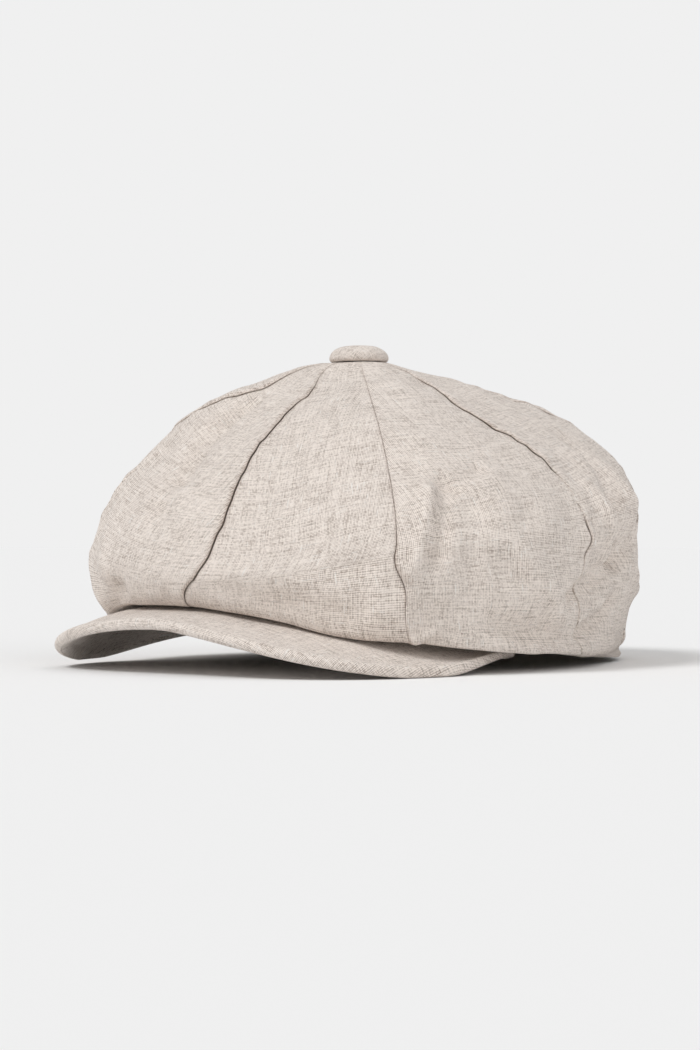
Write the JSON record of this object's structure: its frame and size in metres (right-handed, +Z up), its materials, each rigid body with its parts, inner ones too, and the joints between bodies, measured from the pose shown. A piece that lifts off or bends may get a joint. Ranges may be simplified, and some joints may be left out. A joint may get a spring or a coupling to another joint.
{
  "type": "newsboy cap",
  "caption": "Full round cap of wedge panels that meet under a covered button, with a short stiff arched brim and a sweatband inside.",
  "frame": {"origin": "middle of the footprint, on the surface the cap stands on", "axes": "+Z up, -Y the front with the brim, +X the wearer's left"},
  "size_m": [0.2174, 0.268, 0.1354],
  "materials": {
    "linen": "plain-weave natural linen, matt",
    "cotton": "cotton lining, soft sheen",
    "twill": "cotton twill",
    "elastic": "ribbed elastic under cotton",
    "canvas": "stiff woven canvas",
    "label": "woven tape, blank",
    "board": "moulded sheet",
    "steel": "plated"
  },
  "bodies": {
    "crown": {"crown_panel_1": "linen", "crown_panel_2": "linen", "crown_panel_3": "linen", "crown_panel_4": "linen", "crown_panel_5": "linen", "crown_panel_6": "linen", "crown_panel_7": "linen", "crown_panel_8": "linen", "lining_panel_1": "cotton", "lining_panel_2": "cotton", "lining_panel_3": "cotton", "lining_panel_4": "cotton", "lining_panel_5": "cotton", "lining_panel_6": "cotton", "lining_panel_7": "cotton", "lining_panel_8": "cotton", "band_canvas": "canvas", "sweatband": "twill", "sweatband_elastic": "elastic", "brand_label": "label", "size_label": "label", "care_label": "label", "brim_seam_tape": "cotton", "peak_patch": "cotton"},
    "brim": {"brim_board": "board", "brim_top_cover": "linen", "brim_under_cover": "linen"},
    "top_button": {"button_cover": "linen", "button_shell": "steel", "button_back": "steel", "button_tack": "steel", "button_washer": "steel"}
  },
  "joints": [
    {"name": "brim_tilt", "type": "hinge", "parent": "crown", "child": "brim", "pos_m": [0, -0.0155, 0.012], "axis": [1, 0, 0], "range_deg": [0, 6], "stiffness_Nm_per_rad": 0.6},
    {"name": "button_turn", "type": "hinge", "parent": "crown", "child": "top_button", "pos_m": [0, -0.007, 0.128], "axis": [0, 0, 1], "continuous": true}
  ]
}
